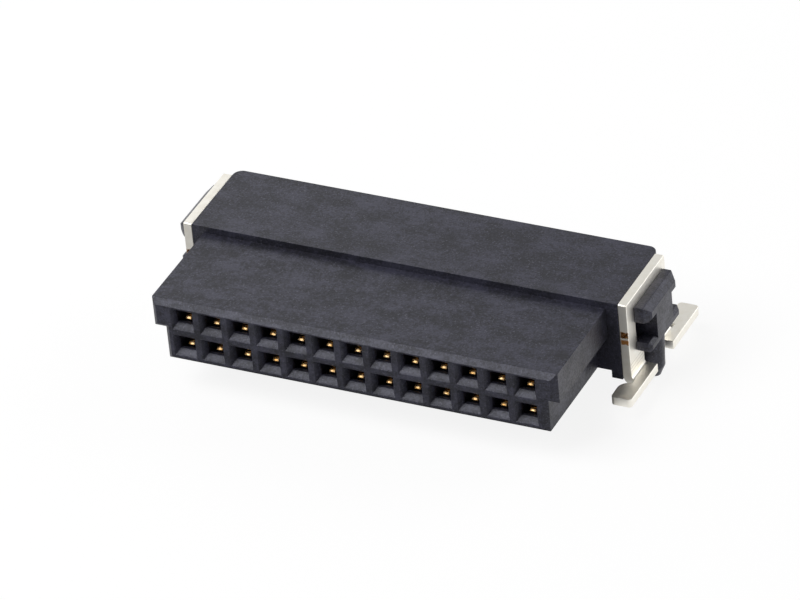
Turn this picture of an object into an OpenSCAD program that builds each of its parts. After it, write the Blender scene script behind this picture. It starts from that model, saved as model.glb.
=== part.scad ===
// Right-angle surface-mount board connector, socket side, with two rows of contacts.
// Frame: board plane at Z = 0, origin midway between the two locating pegs,
// X along the rows, -Y towards the mating face, +Z up. All sizes in millimetres.

/* [Contact grid] */
// Number of columns
columns = 13; // [5:1:26]
// Spacing of the columns along X
column_pitch = 1.27; // [1.22:0.01:1.6]
// Spacing of the two rows along Z
row_pitch = 1.27; // [1.2:0.01:1.6]
// Height of the lower row above the board
lower_row_z = 1.575; // [1.45:0.005:1.8]

/* [Mating nose] */
// Length of the nose in front of the block
nose_len = 5.05; // [4.6:0.05:6.5]
// Plastic beside the last mouth of each row
nose_end_wall = 0.4; // [0.3:0.01:0.8]
// Plastic above the upper mouths
nose_top_wall = 0.28; // [0.28:0.01:0.5]
// Plastic below the lower mouths
nose_bottom_wall = 0.32; // [0.28:0.01:0.36]
// Overhang of the upper flange on each side
flange_step = 0.5; // [0.4:0.01:0.6]
// Thickness of the upper flange
flange_h = 1.4; // [0.9:0.01:1.6]
// Chamfer all round the nose's front face
nose_chamfer = 0.24; // [0.1:0.01:0.25]

/* [Sockets] */
// Width of a mouth
mouth_w = 1.0; // [0.8:0.01:1.05]
// Height of a mouth
mouth_h = 1.03; // [0.8:0.01:1.06]
// Depth of the funnel behind the mouth
funnel_depth = 0.27; // [0.15:0.01:0.35]
// Width of the hole at the bottom of the funnel
hole_w = 0.68; // [0.5:0.01:0.72]
// Height of the hole at the bottom of the funnel
hole_h = 0.56; // [0.4:0.01:0.75]
// Length of the straight hole behind the funnel
hole_len = 0.16; // [0.1:0.01:0.25]
// Width of the contact channel
channel_w = 0.74; // [0.66:0.01:0.85]
// Height of the contact channel
channel_h = 0.95; // [0.85:0.01:1.0]

/* [Block] */
// Depth of the block
block_depth = 4.3; // [4.2:0.05:5]
// Overhang of the block past the lower nose on each side
block_step = 1.02; // [0.9:0.01:1.2]
// Rise of the block above the nose
block_rise = 0.31; // [0.1:0.01:0.6]
// Air under the block
block_air = 0.63; // [0.5:0.01:0.75]
// Air under the skirts at the block's ends
skirt_air = 0.28; // [0.25:0.01:0.45]
// Thickness of the skirts
skirt_w = 0.48; // [0.3:0.01:0.7]
// Radius of the block's upright rear corners
corner_r = 0.4; // [0.1:0.01:0.6]
// Width of the slots for the contact legs
leg_slot_w = 0.5; // [0.44:0.01:0.6]

/* [Bosses and pegs] */
// Drop from the block's top to the top of the boss
boss_drop = 0.5; // [0.3:0.01:0.7]
// Height of the boss over both bars
boss_h = 2.08; // [1.8:0.01:2.2]
// Height of the boss's upper bar
upper_bar_h = 0.72; // [0.6:0.01:0.9]
// Height of the boss's lower bar
lower_bar_h = 0.42; // [0.36:0.01:0.6]
// Length of the bars along Y
bar_len = 2.95; // [2.4:0.01:3.4]
// Reach of the bars past the clip's plate
bar_reach = 0.66; // [0.5:0.01:0.9]
// Chamfer on the outer edges of the upper bar
upper_bar_chamfer = 0.28; // [0.05:0.01:0.3]
// Chamfer on the outer edges of the lower bar
lower_bar_chamfer = 0.14; // [0.05:0.01:0.2]
// Width of the upright web between the bars
web_w = 1.57; // [1.3:0.01:1.8]
// Diameter of the locating pegs
peg_d = 0.86; // [0.7:0.01:1.0]
// Length of a peg below the board plane
peg_len = 0.74; // [0.6:0.01:1.0]
// Distance of a peg's side from the block's end
peg_gap = 0.02; // [0.01:0.01:0.03]
// Diameter at the top of a peg's drafted root, which grows into the block's end
peg_root_d = 1.02; // [0.96:0.01:1.1]
// Depth below the board plane where the drafted root ends
peg_root_depth = 0.06; // [0.06:0.01:0.1]
// Length of the taper at a peg's tip
peg_taper = 0.48; // [0.2:0.01:0.5]
// Diameter of a peg's tip
peg_tip_d = 0.44; // [0.3:0.01:0.6]

/* [Hold-down clips] */
// Thickness of the clip's strip
clip_t = 0.39; // [0.25:0.01:0.45]
// Inside radius of the bend into the feet
clip_bend_r = 0.12; // [0.08:0.01:0.2]
// Distance from the part's middle to the end of a foot
foot_reach = 3.55; // [3.2:0.01:4]
// Distance from the plate's outer face to the outer edge of a foot
foot_out = 0.56; // [0.45:0.01:0.7]
// Distance from the plate's inner face out to the inner edge of a foot
foot_inset = 0.04; // [0.02:0.01:0.15]
// Radius of a foot's corners
foot_corner_r = 0.18; // [0.05:0.01:0.25]
// Radius of a foot's inner shoulder
foot_shoulder_r = 0.45; // [0.1:0.01:0.5]
// Relief between the plate's edge and a foot's free end
foot_relief = 0.25; // [0.05:0.01:0.3]
// Chamfer on the plate's upper corners
plate_chamfer = 0.05; // [0.03:0.01:0.3]
// Half width of the plate's window between the boss's bars
window_half = 1.4; // [1.2:0.01:1.44]

/* [Contacts] */
// Thickness of the contact strip
strip_t = 0.15; // [0.1:0.01:0.18]
// Distance of the beam tips behind the mating face
tip_depth = 0.57; // [0.54:0.01:0.8]
// Length of the flare at the beam tips
tip_flare = 0.14; // [0.12:0.01:0.5]
// Gap between the flared tips
tip_gap = 0.46; // [0.36:0.01:0.5]
// Gap between the beams where they grip
grip_gap = 0.22; // [0.12:0.01:0.26]
// Width of a beam at its tip
tip_w = 0.3; // [0.2:0.01:0.4]
// Width of a beam at its root
root_w = 0.46; // [0.4:0.01:0.6]
// Length of the box that holds a contact in its channel
box_len = 1.5; // [1:0.05:1.6]
// Distance from the mating face to the front of that box
box_depth = 3.6; // [3.2:0.05:3.65]
// Width of the leg and solder tail
tail_w = 0.4; // [0.3:0.01:0.42]
// Inside radius of the bends in the leg
leg_bend_r = 0.15; // [0.1:0.01:0.25]
// Distance from the part's middle to the legs of the upper row
rear_leg_y = 1.85; // [1.6:0.01:1.95]
// Distance from the part's middle to the legs of the lower row
front_leg_y = 1.3; // [1.15:0.01:1.4]
// Distance from the part's middle to the ends of the solder tails
tail_reach = 3.35; // [3:0.01:3.8]

/* [Clearances] */
// Clearance of a pressed-in piece on each side
press_gap = 0.01; // [0.01:0.005:0.02]
// Clearance of a contact in its channel on each side
channel_gap = 0.02; // [0.01:0.005:0.04]
// Clearance of the clip's slot beside the web
slot_gap = 0.02; // [0.01:0.005:0.05]

/* [Hidden] */
$fn = 48;
// Overlap of joined shapes and overrun of cuts
eps = 0.02;
// Straight steps in each bend of a contact
bend_steps = 6;

// Grid
upper_row_z = lower_row_z + row_pitch;
rows_z = [lower_row_z, upper_row_z];
grid_half = (columns - 1) / 2 * column_pitch;

// Housing
block_front = -block_depth / 2;
block_back = block_depth / 2;
face_y = block_front - nose_len;
nose_half = grid_half + mouth_w / 2 + nose_end_wall;
nose_bottom = lower_row_z - mouth_h / 2 - nose_bottom_wall;
nose_top = upper_row_z + mouth_h / 2 + nose_top_wall;
block_half = nose_half + block_step;
block_top = nose_top + block_rise;

// Hold-down clips
plate_in = block_half + press_gap;
plate_out = plate_in + clip_t;
slot_half = web_w / 2 + slot_gap;
bend_x = plate_out + clip_bend_r;
bend_z = clip_t + clip_bend_r;

// Bosses and pegs
boss_top = block_top - boss_drop;
boss_bottom = boss_top - boss_h;
bar_in = plate_out + press_gap;
bar_out = bar_in + bar_reach;
neck_top = boss_top - upper_bar_h / 2;
peg_top = boss_bottom + lower_bar_h / 2;
peg_x = block_half + peg_gap + peg_d / 2;

// Contacts
beam_z = channel_h / 2 - channel_gap - strip_t / 2;
box_w = channel_w - 2 * channel_gap;
tip_y = face_y + tip_depth;
grip_y = tip_y + tip_flare;
box_y = face_y + box_depth;
bend_mid_r = leg_bend_r + strip_t / 2;

function upper_name(i) = str("upper_contact_", i + 1);
function lower_name(i) = str("lower_contact_", i + 1);

function column_x(i) = i * column_pitch - grid_half;
function unit(v) = v / norm(v);
function across(v) = [-v.y, v.x];

// Points on an arc about c
function arc(c, r, from, to) =
    [for (k = [0 : bend_steps])
        let (a = from + (to - from) * k / bend_steps)
        c + r * [cos(a), sin(a)]];

// One edge of a strip whose middle follows the path p, mitred at each point
function strip_edge(p, i, offset) =
    let (last = len(p) - 1)
    let (next = unit(p[min(i + 1, last)] - p[min(i, last - 1)]))
    let (prev = i == 0 ? next : unit(p[i] - p[i - 1]))
    let (normal = unit(across(prev) + across(next)))
    p[i] + normal * offset / (normal * across(next));

// Outline of a strip of thickness t
function strip(p, t) = concat(
    [for (i = [0 : len(p) - 1]) strip_edge(p, i, t / 2)],
    [for (i = [len(p) - 1 : -1 : 0]) strip_edge(p, i, -t / 2)]);

// Extrudes a (Y, Z) outline along X, centred
module along_x(w) {
    rotate([90, 0, 90])
        linear_extrude(w, center = true)
            children();
}

// Extrudes an (X, Z) outline along Y, from y0 to y1
module along_y(y0, y1) {
    translate([0, y1, 0])
        rotate([90, 0, 0])
            linear_extrude(y1 - y0)
                children();
}

module box(low, high) {
    translate(low)
        cube(high - low);
}

module both_ends() {
    children();
    mirror([1, 0, 0])
        children();
}

// One bar of the nose with its front face chamfered all round, run into the block
module nose_bar(half, low) {
    intersection() {
        translate([0, 0, low])
            linear_extrude(nose_top - low)
                polygon([
                    [-half, block_front + eps],
                    [-half, face_y + nose_chamfer],
                    [-half + nose_chamfer, face_y],
                    [half - nose_chamfer, face_y],
                    [half, face_y + nose_chamfer],
                    [half, block_front + eps]]);
        along_x(2 * block_half)
            polygon([
                [block_front + eps, low],
                [face_y + nose_chamfer, low],
                [face_y, low + nose_chamfer],
                [face_y, nose_top - nose_chamfer],
                [face_y + nose_chamfer, nose_top],
                [block_front + eps, nose_top]]);
    }
}

// T-shaped mating nose: a narrow bar with a wider flange along its top
module nose() {
    nose_bar(nose_half, nose_bottom);
    nose_bar(nose_half + flange_step, nose_top - flange_h);
}

// Raised rear block with rounded rear uprights and a skirt at each end
module block() {
    difference() {
        translate([0, 0, skirt_air])
            linear_extrude(block_top - skirt_air)
                block_plan();
        box([-block_half + skirt_w, block_front - eps, 0],
            [block_half - skirt_w, block_back + eps, block_air]);
    }
}

module block_plan() {
    translate([-block_half, block_front])
        square([2 * block_half, block_depth - corner_r]);
    translate([-block_half + corner_r, block_back - corner_r - eps])
        square([2 * (block_half - corner_r), corner_r + eps]);
    for (side = [-1, 1])
        translate([side * (block_half - corner_r), block_back - corner_r])
            circle(corner_r);
}

// One bar of the boss, bevelled along its outer edges
module boss_bar(low, height, chamfer) {
    intersection() {
        along_y(-bar_len / 2, bar_len / 2)
            polygon([
                [bar_in, low],
                [bar_out - chamfer / 2, low],
                [bar_out, low + chamfer / 2],
                [bar_out, low + height - chamfer],
                [bar_out - chamfer, low + height],
                [bar_in, low + height]]);
        linear_extrude(block_top)
            polygon([
                [bar_in, -bar_len / 2],
                [bar_out - chamfer, -bar_len / 2],
                [bar_out, chamfer - bar_len / 2],
                [bar_out, bar_len / 2 - chamfer],
                [bar_out - chamfer, bar_len / 2],
                [bar_in, bar_len / 2]]);
    }
}

// I-shaped boss that traps the clip's plate against the block
module boss() {
    boss_bar(boss_top - upper_bar_h, upper_bar_h, upper_bar_chamfer);
    boss_bar(boss_bottom, lower_bar_h, lower_bar_chamfer);
    box([block_half - eps, -web_w / 2, boss_bottom + lower_bar_chamfer / 2],
        [bar_out, web_w / 2, neck_top]);
}

// Locating peg with a tapered tip, under a drafted root that hangs from the boss
module peg() {
    translate([peg_x, 0, -peg_len])
        cylinder(h = peg_taper, d1 = peg_tip_d, d2 = peg_d);
    translate([peg_x, 0, peg_taper - peg_len])
        cylinder(h = peg_len - peg_taper - peg_root_depth, d = peg_d);
    translate([peg_x, 0, -peg_root_depth])
        cylinder(h = peg_top + peg_root_depth, d1 = peg_d, d2 = peg_root_d);
}

// All the funnels at once: column wedges crossed with row wedges
module funnels() {
    intersection() {
        linear_extrude(block_top)
            for (i = [0 : columns - 1])
                translate([column_x(i), face_y])
                    wedge(mouth_w, hole_w);
        along_x(2 * block_half)
            for (z = rows_z)
                translate([face_y, z])
                    rotate(-90)
                        mirror([1, 0])
                            wedge(mouth_h, hole_h);
    }
}

// Funnel section that opens towards -Y
module wedge(mouth, hole) {
    flare = (mouth - hole) / 2 * eps / funnel_depth;
    polygon([
        [-mouth / 2 - flare, -eps],
        [mouth / 2 + flare, -eps],
        [hole / 2, funnel_depth],
        [-hole / 2, funnel_depth]]);
}

// Straight hole and contact channel behind each funnel, open to the rear
module channels() {
    hole_y = face_y + funnel_depth;
    channel_y = hole_y + hole_len;
    for (i = [0 : columns - 1], z = rows_z)
        translate([column_x(i), 0, z]) {
            box([-hole_w / 2, hole_y - eps / 4, -hole_h / 2],
                [hole_w / 2, channel_y + eps, hole_h / 2]);
            box([-channel_w / 2, channel_y, -channel_h / 2],
                [channel_w / 2, block_back + eps, channel_h / 2]);
        }
}

// Comb of slots, open to the rear and below, that the contact legs drop through
module leg_slots() {
    front = -front_leg_y - strip_t / 2 - leg_bend_r - channel_gap;
    for (i = [0 : columns - 1])
        translate([column_x(i), 0, 0])
            box([-leg_slot_w / 2, front, 0],
                [leg_slot_w / 2, block_back + eps, upper_row_z]);
}

module housing() {
    color([0.2, 0.2, 0.22])
        difference() {
            union() {
                nose();
                block();
                both_ends() {
                    boss();
                    peg();
                }
            }
            funnels();
            channels();
            leg_slots();
        }
}

// Upright plate of a clip: it drops over the boss's web and has a window between the bars
module clip_plate() {
    slot_top = neck_top + slot_gap;
    translate([(plate_in + plate_out) / 2, 0, 0])
        along_x(clip_t)
            difference() {
                polygon([
                    [block_front, bend_z],
                    [block_front, block_top - plate_chamfer],
                    [block_front + plate_chamfer, block_top],
                    [block_back - corner_r - plate_chamfer, block_top],
                    [block_back - corner_r, block_top - plate_chamfer],
                    [block_back - corner_r, bend_z]]);
                translate([-slot_half, bend_z - eps])
                    square([2 * slot_half, slot_top - bend_z + eps]);
                translate([-window_half, peg_top])
                    square([2 * window_half, slot_top - peg_top]);
            }
}

// Solder foot: a bend under the plate and a flat free end that runs past it
module clip_foot(edge) {
    along_y(slot_half, edge)
        intersection() {
            translate([bend_x, bend_z])
                difference() {
                    circle(clip_t + clip_bend_r);
                    circle(clip_bend_r);
                }
            translate([plate_in, 0])
                square(bend_z);
        }
    linear_extrude(clip_t)
        foot_plan(edge + foot_relief);
}

// Plan of a foot: the strip beside the plate joined to a wider, round-cornered free end
module foot_plan(shoulder) {
    inner = plate_in + foot_inset;
    outer = plate_out + foot_out;
    end = foot_reach - foot_corner_r;
    translate([bend_x, slot_half])
        square([outer - bend_x, end - slot_half]);
    translate([inner + foot_shoulder_r, shoulder])
        square([outer - inner - foot_shoulder_r, end - shoulder]);
    translate([inner, shoulder + foot_shoulder_r])
        square([outer - inner, end - shoulder - foot_shoulder_r]);
    translate([inner + foot_corner_r, end - eps])
        square([outer - inner - 2 * foot_corner_r, foot_corner_r + eps]);
    translate([inner + foot_shoulder_r, shoulder + foot_shoulder_r])
        circle(foot_shoulder_r);
    for (x = [inner + foot_corner_r, outer - foot_corner_r])
        translate([x, end])
            circle(foot_corner_r);
}

module right_hold_down() {
    color([0.86, 0.85, 0.82]) {
        clip_plate();
        clip_foot(block_back - corner_r);
        mirror([0, 1, 0])
            clip_foot(-block_front);
    }
}

module left_hold_down() {
    mirror([1, 0, 0])
        right_hold_down();
}

// Plan of the beams: tapered towards their tips, full width in the box
module beam_plan() {
    polygon([
        [-tip_w / 2, tip_y - strip_t],
        [tip_w / 2, tip_y - strip_t],
        [root_w / 2, box_y],
        [box_w / 2, box_y],
        [box_w / 2, box_y + box_len],
        [-box_w / 2, box_y + box_len],
        [-box_w / 2, box_y],
        [-root_w / 2, box_y]]);
}

// One beam in side view, above (side 1) or below (side -1) the mating axis
function beam_path(side) = [
    [tip_y, side * (tip_gap + strip_t) / 2],
    [grip_y, side * (grip_gap + strip_t) / 2],
    [box_y, side * beam_z],
    [box_y + box_len, side * beam_z]];

// Leg and solder tail in side view, from the back of the box down to the board
// leg_y is where the leg stands, way is +1 for a tail towards the rear
function leg_path(row_z, leg_y, way) =
    let (top = row_z - beam_z)
    let (foot = strip_t / 2)
    concat(
        [[box_y + box_len - strip_t, top]],
        arc([leg_y - bend_mid_r, top - bend_mid_r], bend_mid_r, 90, 0),
        arc([leg_y + way * bend_mid_r, foot + bend_mid_r], bend_mid_r,
            way > 0 ? 180 : 0, way > 0 ? 270 : -90),
        [[way * tail_reach, foot]]);

// Twin-beam contact: two beams from a rolled box, a bent leg and a solder tail
module contact(row_z, leg_y, way) {
    color([0.83, 0.66, 0.34]) {
        translate([0, 0, row_z]) {
            intersection() {
                along_x(box_w)
                    for (side = [-1, 1])
                        polygon(strip(beam_path(side), strip_t));
                translate([0, 0, -channel_h / 2])
                    linear_extrude(channel_h)
                        beam_plan();
            }
            both_ends()
                box([box_w / 2 - strip_t, box_y, -beam_z],
                    [box_w / 2, box_y + box_len, beam_z]);
        }
        along_x(tail_w)
            polygon(strip(leg_path(row_z, leg_y, way), strip_t));
    }
}

housing();
left_hold_down();
right_hold_down();
for (i = [0 : columns - 1])
    translate([column_x(i), 0, 0]) {
        contact(upper_row_z, rear_leg_y, 1);
        contact(lower_row_z, -front_leg_y, -1);
    }
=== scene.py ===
# %% [markdown]
# A right-angle board connector, dressed for its portrait. The construction comes in as a fixed frame of
# solids at real size. This lesson adds the looks: softened edges, moulded black plastic, matt tin on the
# stamped hold-down clips, gold on the contact beams, and then the table, the room and the lamps.

# %% Load the frame
import math
import bmesh
import bpy
from mathutils import Matrix, Vector


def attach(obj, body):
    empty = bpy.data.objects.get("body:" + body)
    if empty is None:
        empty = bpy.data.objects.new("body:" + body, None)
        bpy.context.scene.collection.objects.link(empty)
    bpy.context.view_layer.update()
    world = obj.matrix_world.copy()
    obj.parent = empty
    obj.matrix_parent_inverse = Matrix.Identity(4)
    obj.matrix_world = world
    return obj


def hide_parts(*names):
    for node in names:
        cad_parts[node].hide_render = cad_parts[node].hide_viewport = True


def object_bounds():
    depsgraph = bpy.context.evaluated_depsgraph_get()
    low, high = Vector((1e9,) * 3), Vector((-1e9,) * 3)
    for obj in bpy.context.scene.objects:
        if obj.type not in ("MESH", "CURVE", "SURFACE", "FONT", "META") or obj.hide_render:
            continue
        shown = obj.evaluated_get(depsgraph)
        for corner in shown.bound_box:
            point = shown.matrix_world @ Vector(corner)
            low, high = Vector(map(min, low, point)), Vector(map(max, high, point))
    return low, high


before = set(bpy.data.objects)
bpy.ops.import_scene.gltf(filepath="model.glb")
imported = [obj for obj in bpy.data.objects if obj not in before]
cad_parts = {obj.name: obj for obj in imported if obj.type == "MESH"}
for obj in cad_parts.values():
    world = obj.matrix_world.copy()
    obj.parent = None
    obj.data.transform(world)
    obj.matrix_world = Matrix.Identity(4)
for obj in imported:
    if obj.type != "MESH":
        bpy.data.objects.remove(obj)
cad_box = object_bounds()
MM = 0.001
print("solids in the frame:", len(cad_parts))

# %% [markdown]
# The camera comes first, because every later judgement is made through it. It could be placed by hand in
# the viewport. Two angles, a roll and a distance say the same in numbers that are easy to correct. A small
# part is photographed from far off with a long lens, so its edges stay almost parallel. The whole picture
# is tipped a little, and the camera takes that tilt as its roll.

# %% Camera
AIM_MM = (1.23, -4.91, 4.24)
AZIMUTH, ELEVATION, ROLL = 28.03, 34.06, 5.775
DISTANCE_MM = 301.2
LENS_MM, SENSOR_MM = 336.9, 36.0
NEAREST_MM = 10.0

turn = (Matrix.Rotation(math.radians(AZIMUTH), 3, "Z")
        @ Matrix.Rotation(math.radians(90 - ELEVATION), 3, "X")
        @ Matrix.Rotation(math.radians(-ROLL), 3, "Z"))
stand = Vector(AIM_MM) * MM + turn @ Vector((0, 0, DISTANCE_MM * MM))
camera_data = bpy.data.cameras.new("camera")
camera_data.sensor_width = SENSOR_MM
camera_data.lens = LENS_MM
camera_data.clip_start = NEAREST_MM * MM
camera = bpy.data.objects.new("camera", camera_data)
bpy.context.scene.collection.objects.link(camera)
camera.matrix_world = Matrix.Translation(stand) @ turn.to_4x4()
bpy.context.scene.camera = camera
print("camera stands at", [round(v / MM, 1) for v in stand], "mm")

# %% [markdown]
# Real edges are never perfectly sharp: a mould leaves a small radius, and a press tool rolls the edge of
# the strip over. A Bevel modifier could round them, but the solids come as loose triangles, which it would
# take for edges. So the triangles are merged, flat regions are joined, and every outward edge that turns by
# more than a set angle is bevelled. Slivers that the bevel leaves in tight corners are closed. Inward
# corners stay sharp, as a mould makes them, and are marked so that no shading runs across them.

# %% Softened edges
SHARP = math.radians(22)
FLAT = math.radians(0.5)
INWARD = math.radians(5)
WELD = 0.0001 * MM
SLIVER = 0.0002 * MM


def soften(bm, radius_mm, segments):
    """Joins the triangles of a solid and rounds its outward edges."""
    bmesh.ops.remove_doubles(bm, verts=bm.verts, dist=WELD)
    bmesh.ops.dissolve_limit(bm, angle_limit=FLAT, verts=bm.verts, edges=bm.edges)
    outward = [e for e in bm.edges if e.is_manifold and e.is_convex and e.calc_face_angle(0) > SHARP]
    bmesh.ops.bevel(bm, geom=outward, offset=radius_mm * MM, offset_type="OFFSET", affect="EDGES",
                    segments=segments, profile=0.5, material=-1, clamp_overlap=False)
    bmesh.ops.remove_doubles(bm, verts=bm.verts, dist=SLIVER)
    bmesh.ops.dissolve_degenerate(bm, edges=bm.edges, dist=SLIVER)
    bm.normal_update()
    for face in bm.faces:
        face.smooth = True
    for edge in bm.edges:
        edge.smooth = not edge.is_manifold or edge.is_convex or edge.calc_face_angle(0) < INWARD


print("outward edges over", round(math.degrees(SHARP)), "degrees are rounded")

# %% [markdown]
# Each solid gets a rounded twin that stands in for it in the picture. The solid itself could be changed,
# but a copy leaves the construction as it was. The copy's place goes into its mesh, so its object stays at
# the origin and a pattern on Object coordinates is measured in the part's own frame. Weighted normals keep
# the large flat faces flat beside the small rounds. The housing's radius is the smallest, because it has to
# stay under half of the narrowest land: the strip between a mouth and the chamfer of the nose.

# %% Rounded twins
# Radius in millimetres and number of segments.
HOUSING_EDGE = (0.016, 2)
CLIP_EDGE = (0.03, 3)
CONTACT_EDGE = (0.035, 2)


def rounded_twin(node, name, edge):
    """Copies a solid, rounds its outward edges and stands in for it."""
    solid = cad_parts[node]
    mesh = solid.data.copy()
    mesh.transform(solid.matrix_world)
    mesh.name = name
    bm = bmesh.new()
    bm.from_mesh(mesh)
    soften(bm, *edge)
    bm.to_mesh(mesh)
    bm.free()
    mesh.materials.clear()
    twin = bpy.data.objects.new(name, mesh)
    bpy.context.scene.collection.objects.link(twin)
    normals = twin.modifiers.new("even shading", "WEIGHTED_NORMAL")
    normals.keep_sharp = True
    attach(twin, "root")
    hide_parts(node)
    return twin


body = rounded_twin("housing", "moulded_housing", HOUSING_EDGE)
clips = [rounded_twin(side + "_hold_down", side + "_clip", CLIP_EDGE) for side in ("left", "right")]
contacts = [rounded_twin(node, "formed_" + node, CONTACT_EDGE)
            for node in sorted(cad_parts) if "contact" in node]
print("housing faces:", len(body.data.polygons), "clip faces:", len(clips[0].data.polygons))

# %% [markdown]
# The finishes are built from shader nodes. Nodes could be placed one by one in the editor. In a script, one
# small function adds a node, gives it its settings and fills its inputs: a value stays on the socket, and
# another node's output is linked. Colours are written as they look on a screen, in hex, and turned to the
# linear values that the shader works in.

# %% Colours and nodes


def linear(hex_colour):
    """Screen colour such as #808080 as linear red, green, blue and alpha."""
    values = [int(hex_colour[k:k + 2], 16) / 255 for k in (1, 3, 5)]
    return [v / 12.92 if v <= 0.04045 else ((v + 0.055) / 1.055) ** 2.4 for v in values] + [1.0]


def add(tree, kind, settings=None, **inputs):
    """Adds a node and returns its outputs. Base_Color names an input, and i1 is input number 1."""
    node = tree.nodes.new("ShaderNode" + kind)
    for key, value in (settings or {}).items():
        setattr(node, key, value)
    for key, value in inputs.items():
        numbered = key[0] == "i" and key[1:].isdigit()
        socket = node.inputs[int(key[1:]) if numbered else key.replace("_", " ")]
        if isinstance(value, bpy.types.NodeSocket):
            tree.links.new(value, socket)
        else:
            socket.default_value = value
    return node.outputs


def new_material(name):
    """A material with an empty node tree."""
    material = bpy.data.materials.new(name)
    material.use_nodes = True
    material.node_tree.nodes.clear()
    return material


print("middle grey #808080 is", round(linear("#808080")[0], 3), "in linear light")

# %% [markdown]
# Some settings are used again and again, so they get short names. WEIGH is a value times a weight, plus
# what was there before. SMOOTH is for a Map Range node that eases in and out. COLOURS is for a Mix node,
# which then has its two colours at inputs 6 and 7 and the result at output 2. Noise mostly stays between
# 0.3 and 0.7, and NOISE_SPAN spreads that over the whole range.

# %% Settings used again
PLUS, MINUS, TIMES = {"operation": "ADD"}, {"operation": "SUBTRACT"}, {"operation": "MULTIPLY"}
LARGER, WEIGH = {"operation": "MAXIMUM"}, {"operation": "MULTIPLY_ADD"}
UNSIGNED, SINE = {"operation": "ABSOLUTE"}, {"operation": "SINE"}
SMOOTH, COLOURS = {"interpolation_type": "SMOOTHSTEP"}, {"data_type": "RGBA"}
NOISE_SPAN = {"From_Min": 0.3, "From_Max": 0.7}
WHITE = linear("#ffffff")
print("noise is spread from", *NOISE_SPAN.values())

# %% [markdown]
# The housing is a glass-filled liquid-crystal polymer, injection moulded. The melt leaves cloudy flow marks,
# drawn out along the rows, and short glass fibres roughen the skin. An image of such plastic could be laid
# over the faces. Noise that fills space is chosen, because it needs no unwrapping and runs on round every
# corner, as the flow does.

# %% Polymer: flow marks and fibres
# Real fibres are about 0.01 mm across, too fine for the picture, so fibres and specks are drawn about eight
# times as coarse in order to show.
CLOUD_MM, FLOW_STRETCH = 0.9, 0.6
PATCH_MM = 0.22
FIBRE_MM, SPECK_MM = 0.09, 0.08

polymer = new_material("lcp_moulded_black")
tree = polymer.node_tree
place = add(tree, "TexCoord")["Object"]
drawn = add(tree, "Mapping", Vector=place, Scale=(FLOW_STRETCH, 1, 1))[0]
clouds = add(tree, "TexNoise", Vector=drawn, Scale=1 / (CLOUD_MM * MM), Detail=3, Roughness=0.6)[0]
patches = add(tree, "TexNoise", Vector=place, Scale=1 / (PATCH_MM * MM), Detail=3, Roughness=0.6)[0]
fibres = add(tree, "TexNoise", Vector=place, Scale=1 / (FIBRE_MM * MM), Detail=2, Roughness=0.6)[0]
specks = add(tree, "TexNoise", Vector=place, Scale=1 / (SPECK_MM * MM), Detail=1)[0]
mottle = 0.0
for pattern, weight in ((clouds, 0.4), (patches, 0.25), (fibres, 0.35)):
    mottle = add(tree, "Math", WEIGH, i0=pattern, i1=weight, i2=mottle)[0]
print("flow marks are about", CLOUD_MM, "mm across")

# %% [markdown]
# To the eye the skin is a half-matt charcoal, a little blue, that greys where it faces a lamp. Colour alone
# would look painted on. So the mottle goes into the colour and the roughness together: a patch rich in
# resin is darker and matter, and one where the glass comes up is paler and shines more. The fibres also lift
# the skin by a few thousandths of a millimetre, which breaks up the reflections.

# %% Polymer: skin
RESIN, GLASS_NEAR, GLASS_SPECK = "#222228", "#414150", "#62626e"
SHEEN_COLOUR, SHEEN_LEVEL = "#f4f5ff", 0.38
SKIN_SPAN = {"From_Min": 0.4, "From_Max": 0.62}
SPECK_SPAN = {"From_Min": 0.62, "From_Max": 0.74, "To_Max": 0.6}
SKIN_ROUGHNESS = {"From_Min": 0.38, "From_Max": 0.64, "To_Min": 0.42, "To_Max": 0.3}
SKIN_RELIEF_MM = 0.014

shift = add(tree, "MapRange", SMOOTH, Value=mottle, **SKIN_SPAN)[0]
skin = add(tree, "Mix", COLOURS, Factor=shift, i6=linear(RESIN), i7=linear(GLASS_NEAR))[2]
bright = add(tree, "MapRange", SMOOTH, Value=specks, **SPECK_SPAN)[0]
skin = add(tree, "Mix", COLOURS, Factor=bright, i6=skin, i7=linear(GLASS_SPECK))[2]
matt = add(tree, "MapRange", SMOOTH, Value=mottle, **SKIN_ROUGHNESS)[0]
height = 0.0
for pattern, weight in ((fibres, 0.6), (patches, 0.4)):
    height = add(tree, "Math", WEIGH, i0=pattern, i1=weight, i2=height)[0]
relief = add(tree, "Bump", Strength=0.9, Distance=SKIN_RELIEF_MM * MM, Height=height)[0]
surface = add(tree, "BsdfPrincipled", Base_Color=skin, Roughness=matt, Normal=relief,
              Specular_IOR_Level=SHEEN_LEVEL, Specular_Tint=linear(SHEEN_COLOUR))[0]
add(tree, "OutputMaterial", Surface=surface)
body.data.materials.append(polymer)
print(polymer.name, "has", len(tree.nodes), "nodes")

# %% [markdown]
# The clips are stamped from bronze strip and plated with matt tin. To the eye that is a soft, whitish metal
# with a broad, blurred shine. A plain metal shader would look like chrome, so the tin gets two patterns: the
# faint clouds of the plating bath, and the lines that rolling left along the strip.

# %% Matt tin: clouds and rolled lines
# Real rolling lines are too fine for the picture, so they are drawn coarser in order to show.
TIN_CLOUD_MM = 0.35
ROLL_LINE_MM, ROLL_STRETCH = 0.08, 0.06
TIN_GREY, TIN_PALE = "#f6f2e8", "#fbf8f0"

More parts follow.
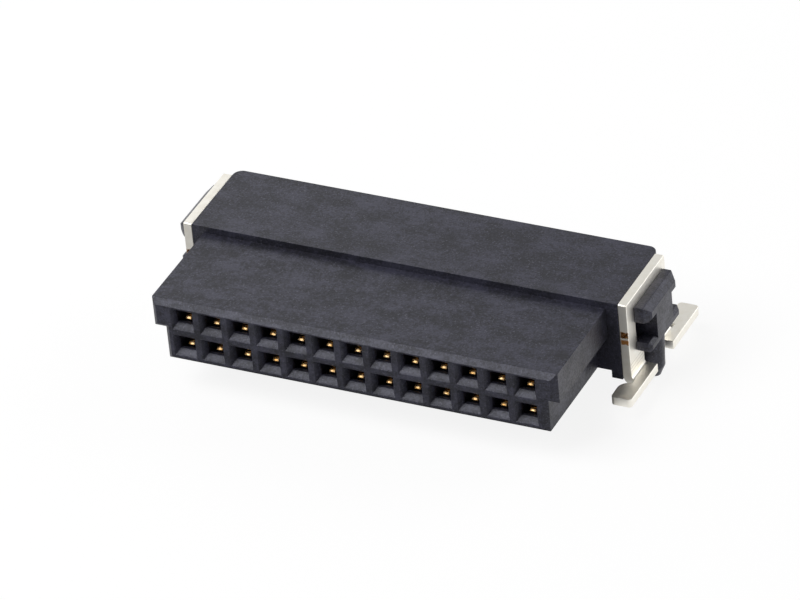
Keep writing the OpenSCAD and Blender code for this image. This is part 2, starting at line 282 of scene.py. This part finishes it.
tin_plate = new_material("bronze_stamped_matt_tin")
tree = tin_plate.node_tree
place = add(tree, "TexCoord")["Object"]
x, y, z = add(tree, "SeparateXYZ", Vector=place)
outwards = add(tree, "Math", UNSIGNED, i0=x)[0]
cloud = add(tree, "TexNoise", Vector=place, Scale=1 / (TIN_CLOUD_MM * MM), Detail=4)[0]
drawn = add(tree, "Mapping", Vector=place, Scale=(1, ROLL_STRETCH, 1))[0]
lines = add(tree, "TexNoise", Vector=drawn, Scale=1 / (ROLL_LINE_MM * MM), Detail=2)[0]
shift = add(tree, "MapRange", SMOOTH, Value=cloud, **NOISE_SPAN)[0]
tin = add(tree, "Mix", COLOURS, Factor=shift, i6=linear(TIN_GREY), i7=linear(TIN_PALE))[2]
print("rolled lines are about", round(ROLL_LINE_MM / ROLL_STRETCH, 1), "mm long")

# %% [markdown]
# Each clip was broken off its carrier strip after plating, so on the front edge of its plate the bronze
# shows bare, in two bands: sheared below and torn above. They could be faces with a material of their own.
# Bands by height, with noise added to the height, give the ragged outline that a break has.

# %% Matt tin: bands of the break
SHEARED_MM, TORN_MM = (2.04, 2.26), (2.34, 2.64)
RAGGED_MM, RAGGED_UP_MM = 0.12, 0.25
FADE = 0.03 * MM

tatter = add(tree, "TexNoise", Vector=place, Scale=1 / (RAGGED_MM * MM), Detail=4, Roughness=0.65)[0]
ragged = add(tree, "Math", MINUS, i0=tatter, i1=0.5)[0]
height = add(tree, "Math", WEIGH, i0=ragged, i1=RAGGED_UP_MM * MM, i2=z)[0]
bands = []
for low_mm, high_mm in (SHEARED_MM, TORN_MM):
    low, high = low_mm * MM, high_mm * MM
    above = add(tree, "MapRange", SMOOTH, Value=height, From_Min=low - FADE, From_Max=low + FADE)[0]
    below = add(tree, "MapRange", SMOOTH, Value=height, From_Min=high + FADE, From_Max=high - FADE)[0]
    bands.append(add(tree, "Math", TIMES, i0=above, i1=below)[0])
sheared, torn = bands
print("bare bronze from", SHEARED_MM[0], "to", TORN_MM[1], "mm above the board")

# %% [markdown]
# To the eye the sheared band is orange and smooth, and the torn one is dark and grainy. The bands are kept
# to the front edge by two more masks: one along Y, for the edge itself, and one outwards along X, for the
# thickness of the strip. Multiplying masks is the plainest way to say that all of them have to hold.

# %% Matt tin: bare bronze
BREAK_EDGE_Y_MM = (-2.12, -2.135)
BARE_FROM_X_MM, BARE_TO_X_MM = (9.57, 9.62), (9.95, 9.9)
RAGGED_ACROSS_MM = 0.12
GRAIN_MM = 0.07
GRAIN_SPAN = {"From_Min": 0.34, "From_Max": 0.62}
BRONZE_SHEARED, BRONZE_TORN = "#b8804a", "#38200f"

across = add(tree, "Math", WEIGH, i0=ragged, i1=RAGGED_ACROSS_MM * MM, i2=outwards)[0]
bare = add(tree, "Math", PLUS, i0=sheared, i1=torn)[0]
for value, (start, end) in ((y, BREAK_EDGE_Y_MM), (across, BARE_FROM_X_MM), (across, BARE_TO_X_MM)):
    inside = add(tree, "MapRange", SMOOTH, Value=value, From_Min=start * MM, From_Max=end * MM)[0]
    bare = add(tree, "Math", TIMES, i0=bare, i1=inside)[0]
grain = add(tree, "TexNoise", Vector=place, Scale=1 / (GRAIN_MM * MM), Detail=4, Roughness=0.7)[0]
grain = add(tree, "MapRange", SMOOTH, Value=grain, **GRAIN_SPAN)[0]
dark = add(tree, "Math", TIMES, i0=torn, i1=grain)[0]
bronze = add(tree, "Mix", COLOURS, Factor=dark, i6=linear(BRONZE_SHEARED), i7=linear(BRONZE_TORN))[2]
print("grain of the torn band:", GRAIN_MM, "mm")

# %% [markdown]
# The press left a few deeper lines low on the outer face of each plate, just above the bend of the feet.
# They could be cut into the mesh, but they are only a few thousandths of a millimetre deep. A sine wave up
# the plate, of which only the crests are kept, gives even lines, and masks keep it to that part of that face.
# The crests are also painted a darker tin: painted shade, standing in for the shade in the grooves.

# %% Matt tin: press lines
PRESS_LINE_MM = 0.17
PRESS_ZONE_MM = (0.62, 1.2)
OUTER_FACE_X_MM = (9.915, 9.935)
CREST_SPAN = {"From_Min": 0.6, "From_Max": 1.0}
# The darker tin is painted shade, standing in for the shade in the grooves of the press lines.
TIN_GROOVE_SHADE, GROOVE_SHADE_SHARE = "#b4aca0", 0.5

low, high = [v * MM for v in PRESS_ZONE_MM]
inner, outer = [v * MM for v in OUTER_FACE_X_MM]
angle = add(tree, "Math", TIMES, i0=z, i1=2 * math.pi / (PRESS_LINE_MM * MM))[0]
wave = add(tree, "Math", SINE, i0=angle)[0]
pressed = add(tree, "MapRange", SMOOTH, Value=wave, **CREST_SPAN)[0]
for value, start, end in ((z, low, low + FADE), (z, high + FADE, high), (outwards, inner, outer)):
    inside = add(tree, "MapRange", SMOOTH, Value=value, From_Min=start, From_Max=end)[0]
    pressed = add(tree, "Math", TIMES, i0=pressed, i1=inside)[0]
# Painted shade: the crests of the wave are mixed towards the darker tin.
groove_shade = add(tree, "Math", TIMES, i0=pressed, i1=GROOVE_SHADE_SHARE)[0]
groove_shaded_tin = add(tree, "Mix", COLOURS, Factor=groove_shade, i6=tin, i7=linear(TIN_GROOVE_SHADE))[2]
print("press lines on each plate:", round((high - low) / (PRESS_LINE_MM * MM)))

# %% [markdown]
# Now the clip's finish comes together: tin with its press lines and their painted shade, bronze where it is
# bare, and a shallow relief of rolled lines, clouds and press lines. Each clip could have a material of its
# own. One serves both, because the masks measure outwards from the middle of the part and so fall on both
# ends alike.

# %% Matt tin: finish
TIN_ROUGHNESS = {"To_Min": 0.47, "To_Max": 0.42}
TIN_RELIEF_MM = 0.006

colour = add(tree, "Mix", COLOURS, Factor=bare, i6=groove_shaded_tin, i7=bronze)[2]
matt = add(tree, "MapRange", SMOOTH, Value=cloud, **NOISE_SPAN, **TIN_ROUGHNESS)[0]
height = 0.0
for pattern, weight in ((lines, 0.6), (cloud, 0.4), (pressed, -0.8)):
    height = add(tree, "Math", WEIGH, i0=pattern, i1=weight, i2=height)[0]
relief = add(tree, "Bump", Strength=0.3, Distance=TIN_RELIEF_MM * MM, Height=height)[0]
surface = add(tree, "BsdfPrincipled", Base_Color=colour, Metallic=1, Roughness=matt, Normal=relief)[0]
add(tree, "OutputMaterial", Surface=surface)
for clip in clips:
    clip.data.materials.append(tin_plate)
print(tin_plate.name, "has", len(tree.nodes), "nodes")

# %% [markdown]
# A contact is bronze strip, stamped and plated twice: gold on the beams that touch a pin, and tin on the leg
# and tail that are soldered. The change falls in the box behind the beams. It could be two materials on two
# sets of faces. It is painted by place instead, tin from there to the rear and near the board, so that one
# material serves all the contacts.

# %% Contacts: where the tin lies
TIN_FROM_Y_MM = (-2.05, -1.95)
TIN_BELOW_Z_MM = (1.0, 0.9)

plating = new_material("bronze_stamped_gold_and_tin")
tree = plating.node_tree
place = add(tree, "TexCoord")["Object"]
axes = add(tree, "SeparateXYZ", Vector=place)
tinned = 0.0
for value, (start, end) in ((axes["Y"], TIN_FROM_Y_MM), (axes["Z"], TIN_BELOW_Z_MM)):
    inside = add(tree, "MapRange", SMOOTH, Value=value, From_Min=start * MM, From_Max=end * MM)[0]
    tinned = add(tree, "Math", LARGER, i0=inside, i1=tinned)[0]
print("gold ends", -TIN_FROM_Y_MM[0], "mm in front of the pegs")

# %% [markdown]
# To the eye the gold is a warm glint in the dark mouths, and the tin is greyer and duller. A single flat
# colour would do at this size, but faint clouds, as on the clips, keep the tails from looking like wire.

# %% Contacts: gold and tin
PLATE_CLOUD_MM = 0.15
GOLD_DEEP, GOLD_PALE = "#c49452", "#e6c494"
LEG_GREY, LEG_PALE = "#c9c6bc", "#dedbd2"
PLATE_ROUGHNESS = {"To_Min": 0.28, "To_Max": 0.4}

cloud = add(tree, "TexNoise", Vector=place, Scale=1 / (PLATE_CLOUD_MM * MM), Detail=3)[0]
shift = add(tree, "MapRange", SMOOTH, Value=cloud, **NOISE_SPAN)[0]
gold = add(tree, "Mix", COLOURS, Factor=shift, i6=linear(GOLD_DEEP), i7=linear(GOLD_PALE))[2]
tin = add(tree, "Mix", COLOURS, Factor=shift, i6=linear(LEG_GREY), i7=linear(LEG_PALE))[2]
colour = add(tree, "Mix", COLOURS, Factor=tinned, i6=gold, i7=tin)[2]
matt = add(tree, "MapRange", SMOOTH, Value=tinned, **PLATE_ROUGHNESS)[0]
surface = add(tree, "BsdfPrincipled", Base_Color=colour, Metallic=1, Roughness=matt)[0]
add(tree, "OutputMaterial", Surface=surface)
for contact in contacts:
    contact.data.materials.append(plating)
print("plated contacts:", len(contacts))

# %% [markdown]
# The part stands on a white table, a sheet of card large enough to run out of the picture. A curved sweep
# could be modelled, but the room behind is white too, so a plane at the height of the lowest point is all
# that it needs. It is stage, not part.

# %% Table
TABLE_HALF_MM = 600

table_mesh = bpy.data.meshes.new("table")
bm = bmesh.new()
bmesh.ops.create_grid(bm, x_segments=1, y_segments=1, size=TABLE_HALF_MM * MM)
bmesh.ops.translate(bm, verts=bm.verts, vec=(0, 0, cad_box[0].z))
bm.to_mesh(table_mesh)
bm.free()
table = bpy.data.objects.new("table", table_mesh)
bpy.context.scene.collection.objects.link(table)
print("table top at", round(cad_box[0].z / MM, 2), "mm")

# %% [markdown]
# Half-matt plastic and tin mirror the card that they stand on. Its light could be left to the lamps, but
# then the sides of the part come out too pale. So rays from a mirror see a card that is dimmer towards the
# front left, and dark below the part, where little light gets in.

# %% White card: what a mirror sees
CARD_FRONT = {"To_Min": 0.56}
REAR_RIGHT = (0.47, 0.88)
FRONT_TO_REAR_MM = (-7, 4)
UNDER_PART = {"To_Min": 1.0, "To_Max": 0.08}
SHADE_X_MM = (10, 8.5)
SHADE_FRONT_Y_MM, SHADE_REAR_Y_MM = (-10.5, -6.4), (3.2, 2.0)

card = new_material("table_white")
tree = card.node_tree
axes = add(tree, "SeparateXYZ", Vector=add(tree, "TexCoord")["Object"])
outwards = add(tree, "Math", UNSIGNED, i0=axes["X"])[0]
under = 1.0
for value, (start, end) in ((outwards, SHADE_X_MM), (axes["Y"], SHADE_FRONT_Y_MM),
                            (axes["Y"], SHADE_REAR_Y_MM)):
    inside = add(tree, "MapRange", SMOOTH, Value=value, From_Min=start * MM, From_Max=end * MM)[0]
    under = add(tree, "Math", TIMES, i0=inside, i1=under)[0]
shade = add(tree, "MapRange", SMOOTH, Value=under, **UNDER_PART)[0]
back = 0.0
for value, weight in zip((axes["X"], axes["Y"]), REAR_RIGHT):
    back = add(tree, "Math", WEIGH, i0=value, i1=weight, i2=back)[0]
start, end = [v * MM for v in FRONT_TO_REAR_MM]
front = add(tree, "MapRange", SMOOTH, Value=back, From_Min=start, From_Max=end, **CARD_FRONT)[0]
mirrored = add(tree, "Math", TIMES, i0=shade, i1=front)[0]
print("a mirror sees the card below the part at", UNDER_PART["To_Max"], "of white")

# %% [markdown]
# White card under strong lamps would wash the part out. So the camera sees the card mostly as an even glow,
# with a share of its real light in which the part's soft shadow shows. The glow is a little over 1, so that
# both together come out white. All other light meets plain matt card, so that the mouths stay dark.

# %% White card: surface
CARD_COLOUR, CARD_ROUGHNESS = "#ededed", 0.9
CARD_GLOW = 1.12
REAL_LIGHT = 0.22

path = add(tree, "LightPath")
shiny = add(tree, "Math", LARGER, i0=path["Is Glossy Ray"], i1=path["Is Transmission Ray"])[0]
direct = add(tree, "Math", TIMES, i0=path["Is Camera Ray"], i1=CARD_GLOW)[0]
level = add(tree, "Math", LARGER, i0=mirrored, i1=direct)[0]
share = add(tree, "Math", WEIGH, i0=path["Is Camera Ray"], i1=1 - REAL_LIGHT, i2=shiny)[0]
matt_card = add(tree, "BsdfPrincipled", Base_Color=linear(CARD_COLOUR), Roughness=CARD_ROUGHNESS)[0]
glow = add(tree, "Emission", Color=WHITE, Strength=level)[0]
surface = add(tree, "MixShader", i0=share, i1=matt_card, i2=glow)[0]
add(tree, "OutputMaterial", Surface=surface)
table_mesh.materials.append(card)
print(card.name, "has", len(tree.nodes), "nodes")

# %% [markdown]
# Around the table is a white room. An image of a studio could light it. A few smooth ramps over the
# direction of a ray do the same and can be read: plastic and metal mirror walls that are brightest on the
# right, less so behind, and dimmer in front and overhead. The camera sees plain white, and matt surfaces get
# only a little light from the room. The lamps do the rest.

# %% White room
ROOM_FILL = 0.08
TOP = {"From_Min": 0.45, "From_Max": 0.95, "To_Min": 1.0, "To_Max": 0.4}
FRONT_AND_BACK = {"From_Min": -0.5, "From_Max": 0.2, "To_Min": 0.35, "To_Max": 0.76}
RIGHT = {"From_Min": 0.3, "From_Max": 0.8}

world = bpy.data.worlds.new("studio")
bpy.context.scene.world = world
world.use_nodes = True
room = world.node_tree
room.nodes.clear()
x, y, z = add(room, "SeparateXYZ", Vector=add(room, "TexCoord")["Generated"])
top = add(room, "MapRange", SMOOTH, Value=z, **TOP)[0]
behind = add(room, "MapRange", SMOOTH, Value=y, **FRONT_AND_BACK)[0]
right = add(room, "MapRange", SMOOTH, Value=x, **RIGHT)[0]
walls = add(room, "Math", LARGER, i0=add(room, "Math", TIMES, i0=top, i1=behind)[0], i1=right)[0]
path = add(room, "LightPath")
shiny = add(room, "Math", LARGER, i0=path["Is Glossy Ray"], i1=path["Is Transmission Ray"])[0]
mirrored = add(room, "Math", TIMES, i0=shiny, i1=walls)[0]
filled = add(room, "Math", LARGER, i0=mirrored, i1=ROOM_FILL)[0]
level = add(room, "Math", LARGER, i0=filled, i1=path["Is Camera Ray"])[0]
add(room, "OutputWorld", Surface=add(room, "Background", Color=WHITE, Strength=level)[0])
print("the room lights matt surfaces at", ROOM_FILL, "of white")

# %% [markdown]
# One large softbox stands above, in front and a little to the left. The floors of the funnel mouths tilt
# back just enough to catch it, so they come out lightest, and the gold behind them lights up. Two weaker
# ones stand behind: the left one brightens the top faces towards their left end, and the right one the
# slanted faces of the end bosses and the clip. Spots or a sun could give the level, but only a lamp with a
# real size gives the soft edges of light that a half-matt skin shows.

# %% Softboxes
# For each: the direction in which it stands, its distance and size in millimetres, and its power in watts.
SOFTBOXES = {
    "softbox_key": ((-0.40, -0.43, 0.81), 260, 190, 0.46),
    "softbox_back_left": ((-0.68, 0.55, 0.48), 80, 60, 0.0055),
    "softbox_back_right": ((0.62, 0.66, 0.42), 130, 90, 0.038),
}
LOOK_AT_MM = (0, -3, 2)

for name, (towards_box, distance_mm, size_mm, watts) in SOFTBOXES.items():
    lamp = bpy.data.lights.new(name, "AREA")
    lamp.size = size_mm * MM
    lamp.energy = watts
    softbox = bpy.data.objects.new(name, lamp)
    bpy.context.scene.collection.objects.link(softbox)
    softbox.visible_camera = False
    softbox.location = Vector(towards_box).normalized() * distance_mm * MM
    aim = Vector(LOOK_AT_MM) * MM - softbox.location
    softbox.rotation_euler = aim.to_track_quat("-Z", "Y").to_euler()
    print(name, "at", [round(v / MM) for v in softbox.location], "mm")

# %% [markdown]
# Last, colours are shown as they are written, without a film curve, and the dressed pieces are counted.

# %% Film curve and count
bpy.context.scene.view_settings.view_transform = "Standard"
print("dressed pieces:", 1 + len(clips) + len(contacts))
